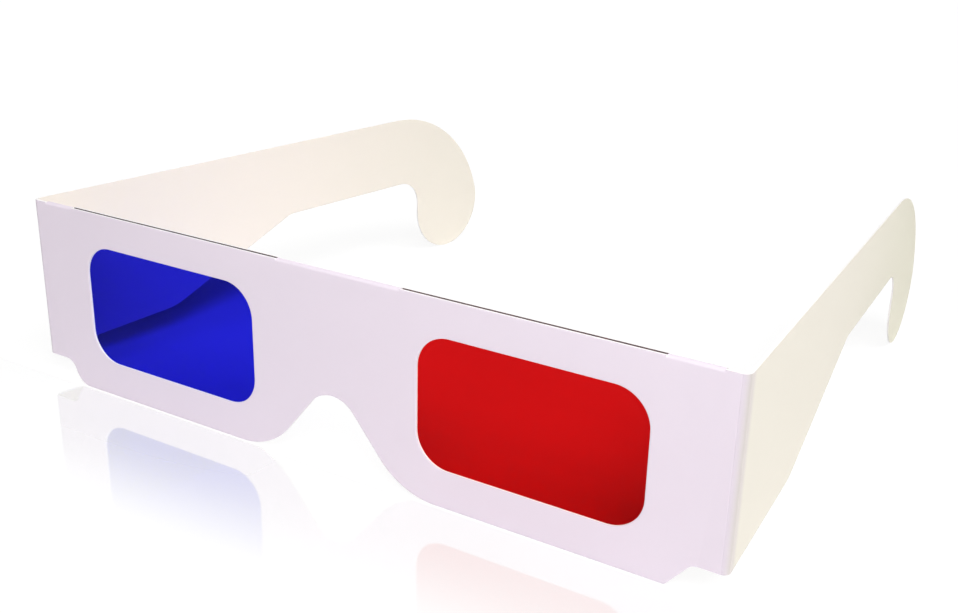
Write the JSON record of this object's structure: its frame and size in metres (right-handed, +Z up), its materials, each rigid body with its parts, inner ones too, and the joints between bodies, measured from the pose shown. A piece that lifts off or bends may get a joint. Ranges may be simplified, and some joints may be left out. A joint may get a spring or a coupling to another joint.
{
  "type": "card 3d glasses",
  "caption": "Folding white card glasses for viewing red and blue stereo pictures, with film windows glued into a doubled front and temples that fold at scored creases.",
  "frame": {"origin": "centre of the box on the surface that the glasses stand on, temples as pictured", "axes": "+X to the wearer's left, +Y back from the front towards the ear hooks, +Z up"},
  "size_m": [0.141, 0.127, 0.036],
  "materials": {
    "front_card": "matt coated white, cool",
    "back_card": "uncoated white, warm",
    "temple_card": "uncoated white, warm",
    "red_film": "clear tinted film",
    "blue_film": "clear tinted film",
    "glue": "dried card glue"
  },
  "bodies": {
    "front": {"front_panel": "front_card", "back_panel": "back_card", "top_fold_left": "front_card", "top_fold_centre": "front_card", "top_fold_right": "front_card", "left_temple_fold": "temple_card", "right_temple_fold": "temple_card", "red_filter": "red_film", "blue_filter": "blue_film", "red_filter_glue": "glue", "blue_filter_glue": "glue", "panel_glue_left": "glue", "panel_glue_centre": "glue", "panel_glue_right": "glue"},
    "left_arm": {"left_temple": "temple_card"},
    "right_arm": {"right_temple": "temple_card"}
  },
  "joints": [
    {"name": "left_temple_fold_hinge", "type": "hinge", "parent": "front", "child": "left_arm", "pos_m": [0.0693, -0.06227, 0.018], "axis": [0, 0, 1], "range_deg": [-92.5, 82.5], "deforming": ["left_temple_fold"]},
    {"name": "right_temple_fold_hinge", "type": "hinge", "parent": "front", "child": "right_arm", "pos_m": [-0.0693, -0.06227, 0.018], "axis": [0, 0, -1], "range_deg": [-99.3, 80.7], "deforming": ["right_temple_fold"]}
  ]
}
